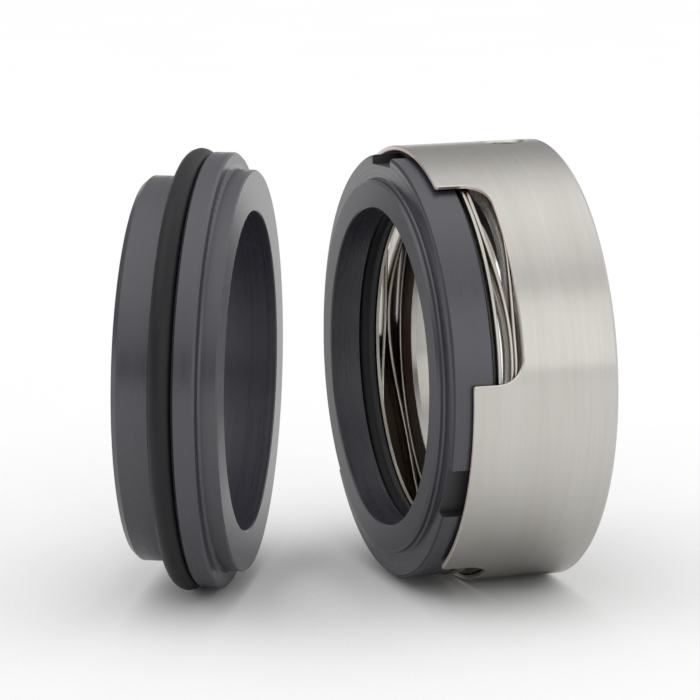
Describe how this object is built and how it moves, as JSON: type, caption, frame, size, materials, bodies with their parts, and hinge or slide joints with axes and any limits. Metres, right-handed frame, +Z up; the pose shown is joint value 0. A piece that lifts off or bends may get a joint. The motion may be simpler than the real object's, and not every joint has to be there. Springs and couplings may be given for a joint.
{
  "type": "component mechanical seal",
  "caption": "Rotary shaft seal: a sprung ceramic face ring driven by a windowed steel collar with set screws, and a stationary ceramic seat with an O-ring.",
  "frame": {"origin": "where the head's shaft axis meets the plane of the two set screws", "axes": "+X along the head's shaft axis, from the lapped face to the collar's rear; +Z up, with both halves standing on their rims"},
  "size_m": [0.0613, 0.0582, 0.0562],
  "materials": {
    "silicon_carbide": "satin",
    "rubber": "matte",
    "turned_steel": "satin",
    "spring_steel": "polished",
    "screw_steel": "satin"
  },
  "bodies": {
    "seat": {"seat_ring": "silicon_carbide", "seat_o_ring": "rubber"},
    "collar": {"drive_collar": "turned_steel", "wave_spring": "spring_steel"},
    "face": {"seal_face_ring": "silicon_carbide", "shaft_o_ring": "rubber", "thrust_ring": "spring_steel"},
    "screw_1": {"set_screw_1": "screw_steel"},
    "screw_2": {"set_screw_2": "screw_steel"}
  },
  "joints": [
    {"name": "head_spin", "type": "hinge", "parent": "seat", "child": "collar", "pos_m": [0, 0, 0], "axis": [1, 0, 0], "continuous": true},
    {"name": "face_float", "type": "slide", "parent": "collar", "child": "face", "axis": [1, 0, 0], "range_m": [0, 0.0024], "stiffness_N_per_m": 1000, "springref_m": -0.002, "deforming": ["wave_spring"]},
    {"name": "screw_1_travel", "type": "slide", "parent": "collar", "child": "screw_1", "axis": [0, 0.0785, 0.9969], "range_m": [-0.0008, 0.0012]},
    {"name": "screw_2_travel", "type": "slide", "parent": "collar", "child": "screw_2", "axis": [0, -0.309, -0.9511], "range_m": [-0.0008, 0.0012]}
  ]
}
